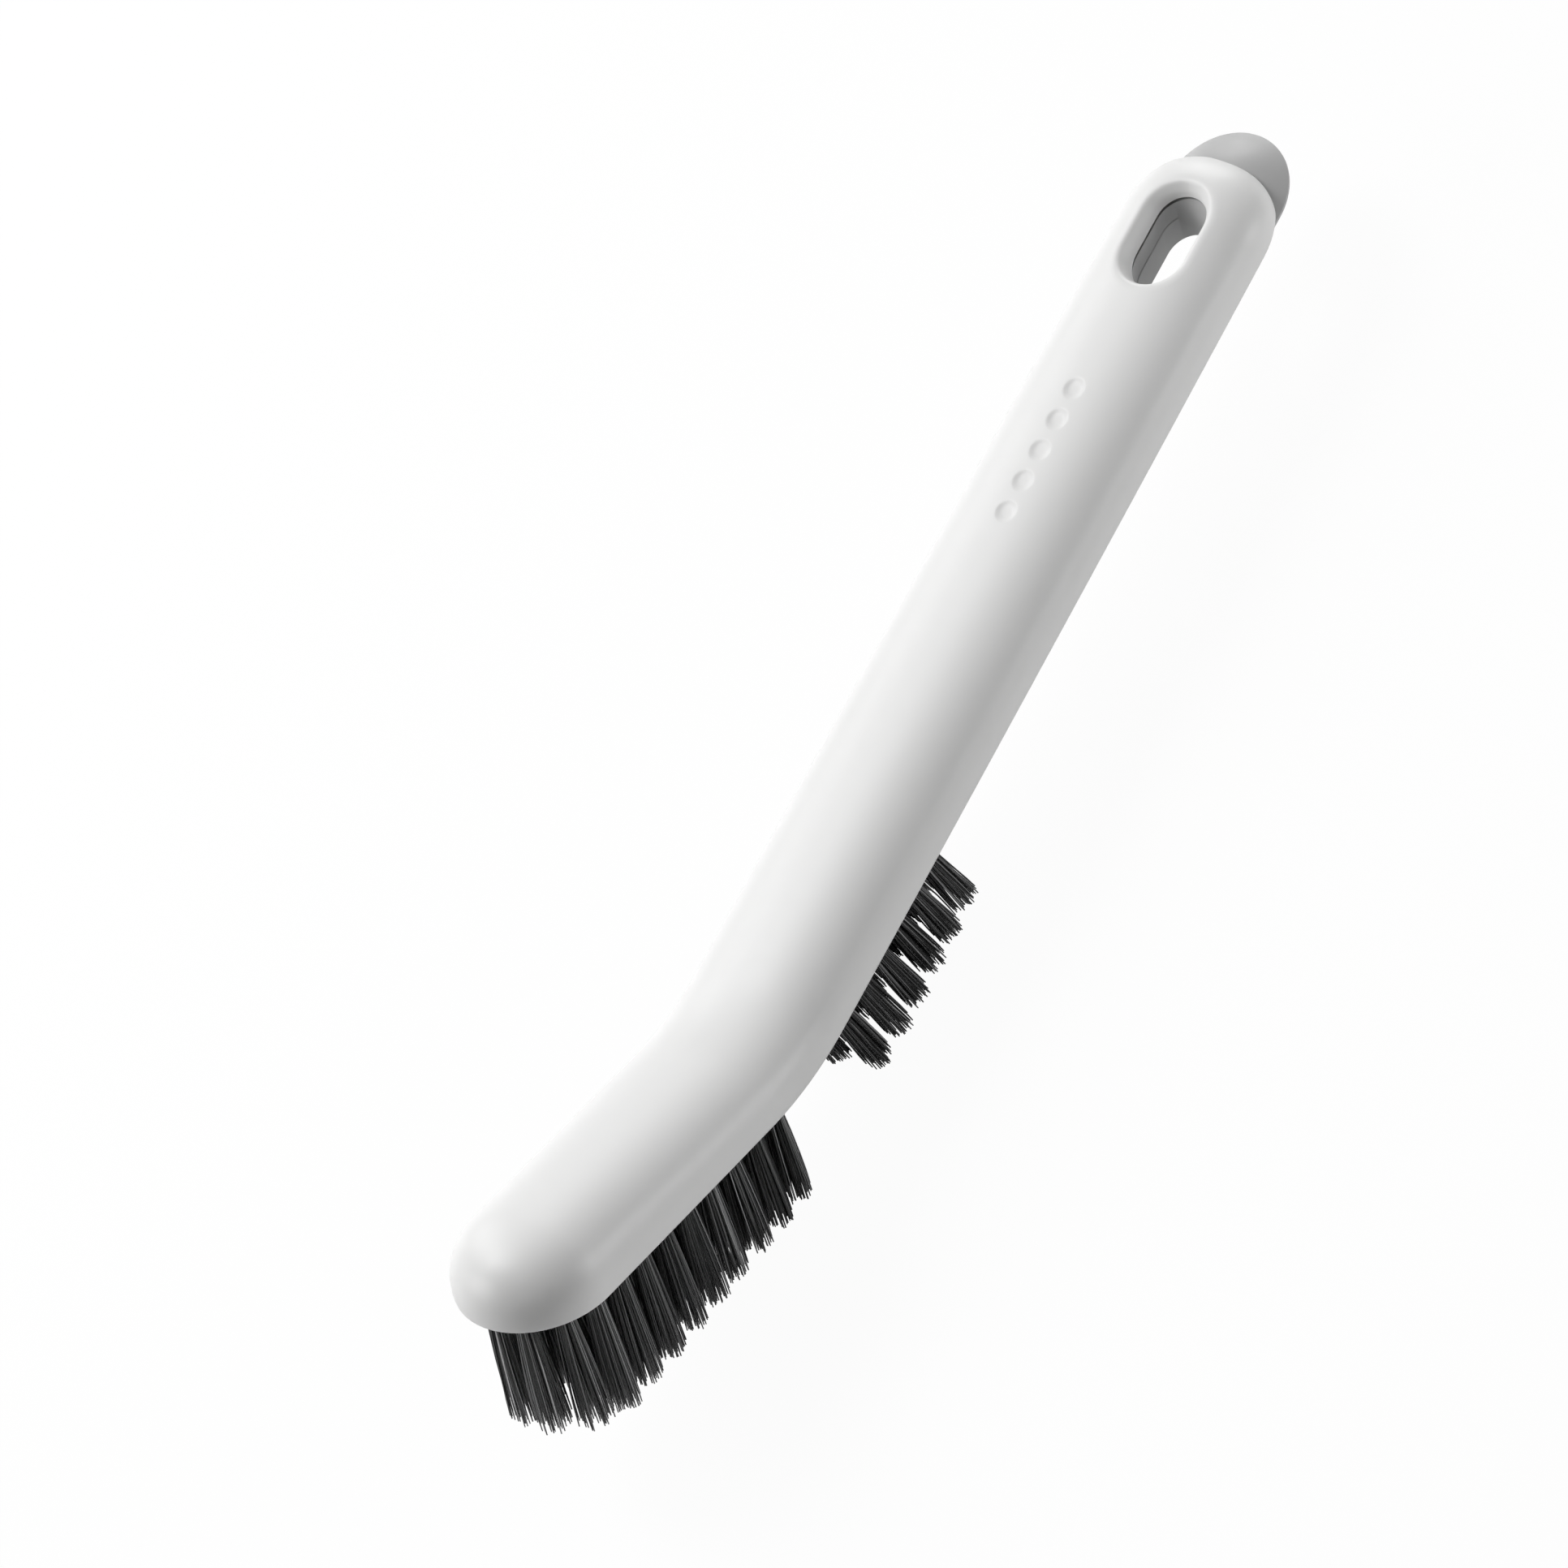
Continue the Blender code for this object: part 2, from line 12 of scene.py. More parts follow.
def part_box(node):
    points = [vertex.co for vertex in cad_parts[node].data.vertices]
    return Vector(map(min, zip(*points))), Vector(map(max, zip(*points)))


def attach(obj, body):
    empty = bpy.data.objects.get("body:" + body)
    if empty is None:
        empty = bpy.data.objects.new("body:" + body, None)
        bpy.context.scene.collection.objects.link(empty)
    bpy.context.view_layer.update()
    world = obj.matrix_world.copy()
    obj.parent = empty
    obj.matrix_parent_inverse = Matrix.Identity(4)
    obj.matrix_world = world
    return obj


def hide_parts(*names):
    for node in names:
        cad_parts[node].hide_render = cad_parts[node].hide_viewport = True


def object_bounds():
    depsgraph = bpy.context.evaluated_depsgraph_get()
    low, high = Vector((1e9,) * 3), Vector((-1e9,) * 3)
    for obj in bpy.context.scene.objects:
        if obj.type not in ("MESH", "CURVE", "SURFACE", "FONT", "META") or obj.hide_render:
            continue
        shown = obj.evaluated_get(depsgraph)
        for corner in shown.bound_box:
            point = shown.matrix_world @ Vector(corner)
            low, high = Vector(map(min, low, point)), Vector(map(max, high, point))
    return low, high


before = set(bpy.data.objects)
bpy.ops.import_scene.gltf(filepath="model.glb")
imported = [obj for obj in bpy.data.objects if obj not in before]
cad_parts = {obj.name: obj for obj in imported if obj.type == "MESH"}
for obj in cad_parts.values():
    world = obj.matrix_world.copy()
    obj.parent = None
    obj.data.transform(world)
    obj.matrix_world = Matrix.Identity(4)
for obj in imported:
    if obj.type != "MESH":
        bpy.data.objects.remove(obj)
cad_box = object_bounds()

# Sizes are in millimetres unless their comment says otherwise. MM turns them into metres.
MM = 0.001

# Shell and base
HANDLE = 172.1
HEAD = 62.9
RADIUS = 61.4
ANGLE = math.radians(21.4)
HEAD_HALF = 15.8
BEND_HALF = 15.9
TAIL_HALF = 15.1
NOSE_TOP = 13.2
BEND_TOP = 10.8
TAIL_TOP = 10.2
NOSE_RISE_POWER = 1.5
TAIL_POWER = 2.35
SKIRT = 0.9
POWER = 2.3
WALL = 1.6
RIM = 0.4
RIM_EASE = 0.05
INNER_RIM = 0.2
INNER_CORNER = 0.06
GAP = 0.3
DROP = 1.4
BASE_EDGE = 0.4

# Mean rise and half width of the crown along the handle, for the slope of its inner face
CROWN_RISE = 9.6
CROWN_HALF = 15.5

# Hanging slot
SLOT_R = 5.25
SLOT_STEP = 0.15
STEP_Z = 2.7
SLOT_LOW = 150.2
SLOT_HIGH = 157.4
LEAN = 0.45
LIP_LEAN = 0.06
NOSE_LEAN = 0.28
UNDERCUT_START = 1.0
UNDERCUT_RUN = 6.0
LIP_Z = 6.4
LIP_DEPTH = 3.8
COLLAR_WALL = 3.4
LEAN_PASSES = 6

# Tongue
TONGUE_R = 12.85
TONGUE_EDGE = -0.6
TONGUE_CROWN = 5.7
TONGUE_ROUND = 0.5
REACH = 7.3

# Ends of the cutters, above or below what they cut
OVERRUN = 2.0
LIP_CUT_END = 2.0
ARCH_CUT_END = -3.0
BASE_CUT_TOP = 10.0
BASE_CUT_END = -4.0

# Dimples, at places along the handle. The limit is a share of the half width.
DIMPLE_START = 96.3
DIMPLE_PITCH = 6.3
DIMPLES = [DIMPLE_START + DIMPLE_PITCH * i for i in range(5)]
DIMPLE_R = 2.3
DIMPLE_DEPTH = 0.35
DIMPLE_LIMIT = 0.25

BEND_END = -RADIUS * ANGLE
NOSE = BEND_END - HEAD + HEAD_HALF
TAIL = HANDLE - TAIL_HALF
TONGUE_C = HANDLE + REACH - TONGUE_R
NOSE_RUN = BEND_END - NOSE

# Stretches along the shell and the base: start, end, distance between sections
SHELL_STRETCHES = (
    (NOSE, BEND_END, 2.0),
    (BEND_END, 0.0, 0.6),
    (0.0, 93.0, 2.0),
    (93.0, 125.0, 0.25),
    (125.0, TAIL, 1.5),
)
BASE_STRETCHES = ((NOSE, BEND_END, 3.0), (BEND_END, 0.0, 0.8), (0.0, TAIL, 4.0))

# Fineness: facets of a round end, rows of a crown, turns round an edge, angle of a sharp edge.
# CREST_STEP is a share of the half width, and WELD a distance in metres.
FACETS = 64
FINE_FACETS = 96
CREST_STEP = 0.0155
CREST_ROWS = 14
SIDE_ROWS = 34
INNER_ROWS = 10
ARCH_ROWS = 16
TONGUE_ROWS = 20
BASE_ROWS = 12
RIM_TURNS = [math.radians(a) for a in (8, 22, 38, 54, 72, 90)]
TONGUE_TURNS = [math.radians(a) for a in (0, 15, 30, 45, 60, 75, 90)]
BASE_TURNS = (0.0, 0.5, 1.0, math.pi / 2)
MOULDING_SHARP = math.radians(35.0)
BRISTLE_SHARP = math.radians(50.0)
WELD = 1e-7

# Carrying of smooth normals: where it starts along the handle, reach in metres, least agreement
CARRY_START = 135.0
CARRY_REACH = 3e-5
CARRY_AGREEMENT = 0.3

# Section of the slot's lip: way out from the slot's wall, depth below the crown
LIP = (
    (3.7, -0.03),
    (3.3, 0.0),
    (2.9, 0.02),
    (2.5, 0.075),
    (2.15, 0.16),
    (1.85, 0.29),
    (1.6, 0.47),
    (1.4, 0.69),
    (1.23, 0.93),
    (1.06, 1.18),
    (0.89, 1.43),
    (0.7, 1.7),
    (0.52, 2.0),
    (0.36, 2.33),
    (0.23, 2.7),
    (0.12, 3.1),
    (0.04, 3.5),
    (0.0, 3.8),
)

# Tuft holes
HOLE_R = 1.8
HOLE_DEPTH = 3.0
HOLE_SIDES = 28

# Front rows: name, way from the centre line, start before the bend's end, tufts, way back from the nose
FRONT_ROWS = (("outer", 9.3, 6.6, 22, 0.0), ("inner", 3.1, 3.4, 18, 2.5))
FRONT_REACH = 23.8
NOSE_REACH = 5.0
NOSE_TRIM = 2.8
NOSE_OUT = 0.9
FRONT_FLARE = 3.35
CORNER_FLARE = 0.35

# Rear rows: name, place across, way toward the tail
REAR_ROWS = (("near", -8.4, 0.0), ("middle", 0.0, -1.9), ("far", 8.4, 0.0))
REAR_COUNT = 6
REAR_START = 5.0
REAR_PITCH = 6.35
REAR_REACH = 22.6
REAR_LAST_REACH = 21.7
REAR_FLARE = 3.0

# Filaments of a tuft. Jitters are greatest amounts, and spreads are standard deviations.
SEED = 11
FILAMENTS = 72
FILAMENT_R = (0.15, 0.18)
FILAMENT_SIDES = 5
TIP_SHARE = 0.72
ROOT_R = 1.55
ROOT_DEPTH = 2.0
PATH_SHARES = (0.0, 0.22, 0.45, 0.68, 0.86, 1.0)
FAN_POWER = 1.4
GOLDEN_TURN = 2.39996
TURN_JITTER = 0.25
SHARE_JITTER = 0.05
LOCKS = 9
LOCK_PULL = (0.05, 0.3)
TUFT_LEAN_SPREAD = 0.14
STRAY_SPREAD = 0.1
TIP_INSET = 0.1
WILD_CHANCE = 0.07
WILD_SPREAD = 0.6
TRIM_MEAN = -0.35
TRIM_SPREAD = 0.32
TRIM_DOME = 0.55
SHORT_CHANCE = 0.06
SHORT_CUT = (0.4, 1.2)
BOW_SPREAD = 0.12

# The part of a noise's range that a material spreads over its own range
NOISE_LOW = 0.3
NOISE_HIGH = 0.7
FLOW_STRETCH = (0.35, 1.0, 1.0)
STREAK_STRETCH = (1.0, 1.0, 0.06)

# Bristle colours: share of the filaments, brightness, picked at random per filament. The dark filaments are
# the nylon's own tone, differing at random. The light grey ones towards the last colour are painted
# highlights, light streaks on single strands.
BRISTLE_TONE_AND_HIGHLIGHT_STOPS = ((0.0, 0.01), (0.45, 0.07), (0.8, 0.22))
BRISTLE_PAINTED_HIGHLIGHT = (0.55, 0.55, 0.555)

# Camera: directions, roll in radians, width of view, distance and clip ends in metres, place aimed at
RIGHT = Vector((0.4719, -0.7601, -0.4467)).normalized()
AWAY = Vector((-0.2437, -0.5993, 0.7625)).normalized()
UP = AWAY.cross(RIGHT).normalized()
ROLL = 0.005
VIEW_WIDTH = 0.2733
CAMERA_DISTANCE = 1.2
CAMERA_CLIP = (0.05, 10.0)
AIM_RIGHT = 1.72
AIM_UP = 39.11

# Lamps: name, azimuth and elevation in degrees, power in watts. Their other sizes are in metres.
LAMPS = (
    ("key", 90.0, 58.0, 5.6),
    ("far_left", 135.0, 32.0, 3.0),
    ("far_right", 70.0, 32.0, 2.45),
    ("tail_fill", 30.0, 10.0, 2.7),
    ("near_fill", 300.0, 10.0, 3.8),
)
LAMP_SIZE = 0.45
LAMP_RISE = 0.02
SKY_FILL = 0.03

# Floor, in metres. The glow is the share of white that the camera sees in place of the shaded floor.
FLOOR_REACH = 1.6
FLOOR_DROP = 0.0002
FLOOR_GLOW = 0.96

# The start of the bend on the rim plane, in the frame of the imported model.
ORIGIN = Vector((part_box("base")[1].x - (HANDLE + REACH) * MM, 0.0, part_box("base")[0].z + DROP * MM))


def half_width(s):
    """Half the shell's width at s, on a parabola through the widths at nose, bend and tail."""
    s = min(max(s, NOSE), TAIL)
    to_nose = (HEAD_HALF - BEND_HALF) / NOSE
    to_tail = (TAIL_HALF - BEND_HALF) / TAIL
    bow = (to_tail - to_nose) / (TAIL - NOSE)
    return BEND_HALF + (to_tail - bow * TAIL) * s + bow * s * s


def crest(s):
    """Height of the shell's crest, which falls to the tail and rises over the head."""
    to_tail = min(max(s / TAIL, 0.0), 1.0)
    to_nose = min(max(s / NOSE, 0.0), 1.0)
    return BEND_TOP - (BEND_TOP - TAIL_TOP) * to_tail + (NOSE_TOP - BEND_TOP) * to_nose ** NOSE_RISE_POWER


def place(s, y, h):
    """Point in the model's frame, in metres, at s along the rim line, y across and h above it."""
    turn = min(max(-s / RADIUS, 0.0), ANGLE)
    beyond = max(BEND_END - s, 0.0)
    x = max(s, 0.0) - RADIUS * math.sin(turn) - beyond * math.cos(ANGLE)
    z = RADIUS * (1.0 - math.cos(turn)) + beyond * math.sin(ANGLE)
    point = Vector((x + h * math.sin(turn), y, z + h * math.cos(turn)))
    return ORIGIN + point * MM


def dimple(s, y):
    """Depth of the dimples at a place on the crown."""
    for centre in DIMPLES:
        reach = math.hypot(s - centre, y) / DIMPLE_R
        if reach < 1.0:
            return DIMPLE_DEPTH * (1.0 - reach ** 4) ** 2
    return 0.0


def shell_top(s, y):
    """Height of the smooth crown at a place near the tail."""
    reach = (max(s - TAIL, 0.0) ** TAIL_POWER + abs(y) ** TAIL_POWER) ** (1.0 / TAIL_POWER)
    share = min(reach / half_width(s), 1.0)
    return SKIRT + (crest(s) - SKIRT) * (1.0 - share ** POWER) ** (1.0 / POWER)


def columns(start, end, marks, facets, power):
    """Ways out from the centre line to an outline with two round ends, the second of a given power."""
    turns = [math.pi * i / facets for i in range(1, facets)]
    near = [(s, 0.0, -1.0) for s in reversed(marks)]
    nose = [(start, -math.sin(t), -math.cos(t)) for t in turns]
    far = [(s, 0.0, 1.0) for s in marks]
    tail = []
    for t in turns:
        fuller = (math.sin(t) ** power + abs(math.cos(t)) ** power) ** (-1.0 / power)
        tail.append((end, math.sin(t) * fuller, math.cos(t) * fuller))
    return near + nose + far + tail


def sweep(name, start, end, marks, radius_at, rows, facets=FACETS, power=2.0):
    """Mesh of rows (share of radius, offset, height) swept round the outline."""
    made = bmesh.new()
    grid = []
    for centre, along, across in columns(start, end, marks, facets, power):
        column = []
        for share, offset, height in rows:
            reach = radius_at(centre) * share + offset
            s = centre + along * reach
            y = across * reach
            level = height(s, y) if callable(height) else height
            column.append(made.verts.new(place(s, y, level)))
        grid.append(column)
    for i, column in enumerate(grid):
        following = grid[(i + 1) % len(grid)]
        for j in range(len(rows) - 1):
            made.faces.new((column[j], following[j], following[j + 1], column[j + 1]))
    bmesh.ops.remove_doubles(made, verts=made.verts, dist=WELD)
    mesh = bpy.data.meshes.new(name)
    made.to_mesh(mesh)
    made.free()
    return mesh


def round_ended(name, start, end, radius, rows, facets=FACETS):
    """Swept mesh of one radius between two places, with no sections between them."""
    return sweep(name, start, end, [start, end], lambda s: radius, rows, facets)


def sections(stretches):
    """Places of the sections along stretches of (start, end, distance), up to the tail."""
    marks = []
    for start, end, size in stretches:
        count = max(1, math.ceil((end - start) / size))
        marks += [start + (end - start) * i / count for i in range(count)]
    return marks + [TAIL]


def add(name, data):
    """Object with that mesh, camera or light in the scene."""
    thing = bpy.data.objects.new(name, data)
    bpy.context.scene.collection.objects.link(thing)
    return thing


def boolean(thing, tool, operation):
    """Boolean modifier on thing; the tool goes once the result is kept."""
    modifier = thing.modifiers.new(tool.name, "BOOLEAN")
    modifier.operation = operation
    modifier.object = tool
    modifier.solver = "EXACT"


def finish_mesh(mesh, sharp):
    """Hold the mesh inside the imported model's box and shade it smooth but for sharp edges."""
    for vertex in mesh.vertices:
        vertex.co = [min(max(c, low), high) for c, low, high in zip(vertex.co, cad_box[0], cad_box[1])]
    mesh.shade_smooth()
    mesh.set_sharp_from_angle(angle=sharp)


def keep(thing, tools):
    """Keep the modifiers' result as the mesh and remove the tools."""
    bpy.context.view_layer.update()
    graph = bpy.context.evaluated_depsgraph_get()
    mesh = bpy.data.meshes.new_from_object(thing.evaluated_get(graph))
    thing.modifiers.clear()
    thing.data = mesh
    for tool in tools:
        bpy.data.objects.remove(tool)
    finish_mesh(mesh, MOULDING_SHARP)


def smooth_source(mesh, sign):
    """Search tree over a mesh, its points, its smooth vertex normals and its faces."""
    points = [v.co.copy() for v in mesh.vertices]
    normals = [v.normal * sign for v in mesh.vertices]
    faces = [tuple(p.vertices) for p in mesh.polygons]
    return BVHTree.FromPolygons(points, faces), points, normals, faces


def carry_normals(mesh, sources, near):
    """Give cut faces the smooth normals of the surfaces that they were cut from."""
    carried = [Vector((0.0, 0.0, 0.0))] * len(mesh.loops)
    for face in mesh.polygons:
        if not near(face.center):
            continue
        best = None
        for source in sources:
            index, distance = source[0].find_nearest(face.center)[2:]
            if index is None or distance > CARRY_REACH:
                continue
            if best is None or distance < best[0]:
                best = (distance, source)
        if best is None:
            continue
        tree, points, normals, faces = best[1]
        for loop in face.loop_indices:
            corner_point = mesh.vertices[mesh.loops[loop].vertex_index].co
            hit, _, index, _ = tree.find_nearest(corner_point)
            corners = faces[index]
            weights = poly_3d_calc([points[c] for c in corners], hit)
            blend = Vector((0.0, 0.0, 0.0))
            for corner, weight in zip(corners, weights):
                blend += normals[corner] * weight
            if blend.dot(face.normal) > CARRY_AGREEMENT:
                carried[loop] = blend.normalized()
    mesh.normals_split_custom_set(carried)


def slide(s, level):
    """Way toward the tail that the slot's wall leans at a height, more at the slot's head end."""
    rise = level - LIP_Z
    share = min(max((SLOT_LOW + UNDERCUT_START - s) / UNDERCUT_RUN, 0.0), 1.0)
    undercut = NOSE_LEAN * share * (min(max(rise, 0.0), LIP_DEPTH) - LIP_DEPTH)
    return rise * (LIP_LEAN if rise > 0.0 else LEAN) + undercut


def lean(mesh):
    """Lean the upright slot toward the tail, much below the lip's lower edge and little above it."""
    for vertex in mesh.vertices:
        spot = (vertex.co - ORIGIN) / MM
        vertex.co.x += slide(spot.x, spot.z) * MM
    return mesh


def lip_height(depth):
    """Height of the lip at a depth below the crown, at the place that it leans to."""

    def height(s, y):
        level = shell_top(s, y) - depth
        for i in range(LEAN_PASSES):
            level = shell_top(s + slide(s, level), y) - depth
        return level

    return height


def slot_tool(name, rows):
    """Leaned cutter with the slot's outline."""
    return lean(round_ended(name, SLOT_LOW, SLOT_HIGH, SLOT_R, rows))


def tongue_rows(gap, count):
    """Crown and edge of the tongue, grown by gap."""
    rows = []
    for i in range(count + 1):
        share = math.sin(math.pi / 2 * i / count)
        rows.append((share, gap * share, TONGUE_EDGE + gap + TONGUE_CROWN * (1.0 - share * share)))
    return rows


def crown_shares():
    """Shares of the half width from crest to side, close together by the crest for the dimples."""
    shares = [CREST_STEP * i for i in range(CREST_ROWS)]
    start = math.acos(shares[-1] ** (POWER / 2))
    turns = [start * (1 - i / SIDE_ROWS) for i in range(1, SIDE_ROWS + 1)]
    return shares + [math.cos(t) ** (2 / POWER) for t in turns]


def crown_height(full, drop=0.0, side=SKIRT, below=0.0):
    """Height at this share of a crown's rise from side to drop under the crest, and below that."""
    return lambda s, y: side + (crest(s) - drop - side) * full - below


def outer_height(share):
    """Height of the outer crown, with its dimples, at a share of the half width."""
    crown = crown_height((1.0 - min(share, 1.0) ** POWER) ** (1.0 / POWER))
    if share > DIMPLE_LIMIT:
        return crown
    return lambda s, y: crown(s, y) - dimple(s, y)


def inner_rows():
    """Rows one wall inside the crown, from the rim to the crest."""
    rows = []
    for i in range(INNER_ROWS + 1):
        turn = math.pi / 2 * i / INNER_ROWS
        share, full = math.cos(turn) ** (2 / POWER), math.sin(turn) ** (2 / POWER)
        side, rise = math.cos(turn) ** (2 - 2 / POWER), math.sin(turn) ** (2 - 2 / POWER)
        tilt = math.hypot(side * CROWN_RISE, rise * CROWN_HALF)
        out, up = WALL * side * CROWN_RISE / tilt, WALL * rise * CROWN_HALF / tilt
        rows.append((share, -out, crown_height(full, below=up)))
    rows[-1] = (0.0, 0.0, crown_height(1.0, below=WALL))
    return rows


def make_shell():
    """White shell with a rounded rim, the slot's lip, the arch for the tongue and dimples."""
    rows = [(share, 0.0, outer_height(share)) for share in crown_shares()]
    rows += [(1.0, -RIM_EASE - RIM * (1 - math.cos(t)), RIM * (1 - math.sin(t))) for t in RIM_TURNS]
    rows += [(1.0, -WALL + INNER_RIM, 0.0), (1.0, -WALL + INNER_CORNER, INNER_CORNER)]
    rows.append((1.0, -WALL, INNER_RIM))
    rows += inner_rows()
    marks = sections(SHELL_STRETCHES)
    mesh = sweep("shell_white", NOSE, TAIL, marks, half_width, rows, FINE_FACETS, TAIL_POWER)
    shell = add("shell_white", mesh)
    outer = smooth_source(shell.data, 1.0)
    top = TAIL_TOP - WALL
    rows = [(0.0, 0.0, top), (1.0, COLLAR_WALL, top), (1.0, COLLAR_WALL, LIP_Z), (0.0, 0.0, LIP_Z)]
    collar = add("collar", round_ended("collar", SLOT_LOW, SLOT_HIGH, SLOT_R, rows))
    rows = [(0.0, 0.0, TAIL_TOP + OVERRUN), (1.0, LIP[0][0], TAIL_TOP + OVERRUN)]
    rows += [(1.0, offset, lip_height(depth)) for offset, depth in LIP]
    rows += [(1.0, 0.0, LIP_CUT_END), (0.0, 0.0, LIP_CUT_END)]
    slot = add("slot", slot_tool("slot", rows))
    rows = tongue_rows(GAP, ARCH_ROWS) + [(1.0, GAP, ARCH_CUT_END), (0.0, 0.0, ARCH_CUT_END)]
    arch = add("arch", round_ended("arch", TAIL, TONGUE_C, TONGUE_R, rows))
    lip_surface = smooth_source(slot.data, -1.0)
    arch_surface = smooth_source(arch.data, -1.0)
    boolean(shell, collar, "UNION")
    boolean(shell, slot, "DIFFERENCE")
    boolean(shell, arch, "DIFFERENCE")
    keep(shell, [collar, slot, arch])
    edge = ORIGIN.x + CARRY_START * MM
    carry_normals(shell.data, [outer, lip_surface, arch_surface], lambda point: point.x > edge)
    return shell


def base_half(s):
    """Half the base's width, clear of the shell's wall."""
    return half_width(s) - WALL - GAP


def front_tufts():
    """(name, frame at the root, length to the tips, flare radius at the tips) of the head's tufts."""
    spine = place(BEND_END, 0.0, 0.0)
    head = Matrix.Translation(spine) @ Matrix.Rotation(ANGLE, 4, "Y")
    made = []
    for row, side, start, count, back in FRONT_ROWS:
        straight = start + NOSE_RUN
        for i in range(count):
            way = (2 * straight + math.pi * side) * i / (count - 1)
            if way < straight:
                run, y, turn = way - start, -side, 0.0
            elif way > straight + math.pi * side:
                run, y, turn = 2 * straight + math.pi * side - way - start, side, 0.0
            else:
                turn = (way - straight) / side
                run, y = NOSE_RUN + (side + NOSE_OUT) * math.sin(turn), -side * math.cos(turn)
            reach = FRONT_REACH + NOSE_REACH * min(run / NOSE_RUN, 1.0) - NOSE_TRIM * math.sin(turn)
            root = head @ Matrix.Translation(Vector((back - run, y, -DROP)) * MM)
            flare = FRONT_FLARE + CORNER_FLARE * abs(math.sin(2.0 * turn))
            made.append((f"front_tuft_{row}_{i + 1:02d}", root, reach - DROP, flare))
    return made


def rear_tufts():
    """The same of the tufts behind the bend."""
    made = []
    for row, y, shift in REAR_ROWS:
        for i in range(REAR_COUNT):
            spot = Vector((REAR_START + shift + REAR_PITCH * i, y, -DROP)) * MM
            root = Matrix.Translation(ORIGIN + spot)
            reach = REAR_REACH if i < REAR_COUNT - 1 else REAR_LAST_REACH
            made.append((f"rear_tuft_{row}_{i + 1}", root, reach - DROP, REAR_FLARE))
    return made


def make_base(roots):
    """Grey base with its tuft holes, the stepped slot and the tongue."""
    under = LIP_DEPTH + GAP
    rows = [(0.0, 0.0, crown_height(1.0, under, SKIRT - GAP))]
    for i in range(1, BASE_ROWS + 1):
        turn = math.pi / 2 * (1 - i / BASE_ROWS)
        share, full = math.cos(turn) ** (2 / POWER), math.sin(turn) ** (2 / POWER)
        rows.append((share, 0.0, crown_height(full, under, SKIRT - GAP)))
    rows += [(1.0, -BASE_EDGE * (1 - math.cos(t)), -DROP + BASE_EDGE * (1 - math.sin(t))) for t in BASE_TURNS]
    rows.append((0.0, 0.0, -DROP))
    base = add("base_grey", sweep("base_grey", NOSE, TAIL, sections(BASE_STRETCHES), base_half, rows))
    rows = tongue_rows(0.0, TONGUE_ROWS)
    for t in TONGUE_TURNS:
        rows.append((1.0, TONGUE_ROUND * (math.cos(t) - 1.0), TONGUE_ROUND * (1.0 - math.sin(t)) - DROP))
    rows.append((0.0, 0.0, -DROP))
    tongue = add("tongue", round_ended("tongue", TAIL, TONGUE_C, TONGUE_R, rows, FINE_FACETS))
    wide = (SLOT_R + SLOT_STEP) / SLOT_R
    rows = [(0.0, 0.0, BASE_CUT_TOP), (wide, 0.0, BASE_CUT_TOP), (wide, 0.0, LIP_Z)]
    rows += [(wide, 0.0, STEP_Z + SLOT_STEP), (1.0, 0.0, STEP_Z)]
    rows += [(1.0, 0.0, BASE_CUT_END), (0.0, 0.0, BASE_CUT_END)]
    slot = add("slot", slot_tool("slot", rows))
    made = bmesh.new()
    for root in roots:
        bmesh.ops.create_cone(
            made,
            cap_ends=True,
            segments=HOLE_SIDES,
            radius1=HOLE_R * MM,
            radius2=HOLE_R * MM,
            depth=2 * HOLE_DEPTH * MM,
            matrix=root,
        )
    mesh = bpy.data.meshes.new("holes")
    made.to_mesh(mesh)
    made.free()
    holes = add("holes", mesh)
    boolean(base, tongue, "UNION")
    boolean(base, slot, "DIFFERENCE")
    boolean(base, holes, "DIFFERENCE")
    keep(base, [tongue, slot, holes])
    return base


def bristle(made, rng, path, radius):
    """One filament along path, a little thinner at its tip."""
    rings = []
    turn = rng.uniform(0.0, math.pi)
    for i, point in enumerate(path):
        size = radius * (TIP_SHARE if i == len(path) - 1 else 1.0)
        ring = []
        for k in range(FILAMENT_SIDES):
            angle = turn + 2 * math.pi * k / FILAMENT_SIDES
            ring.append(made.verts.new(point + Vector((size * math.cos(angle), size * math.sin(angle), 0.0))))
        rings.append(ring)
    for low, high in zip(rings, rings[1:]):
        for k in range(FILAMENT_SIDES):
            other = (k + 1) % FILAMENT_SIDES
            made.faces.new((low[other], low[k], high[k], high[other]))
    made.faces.new(list(reversed(rings[-1])))
    made.faces.new(rings[0])


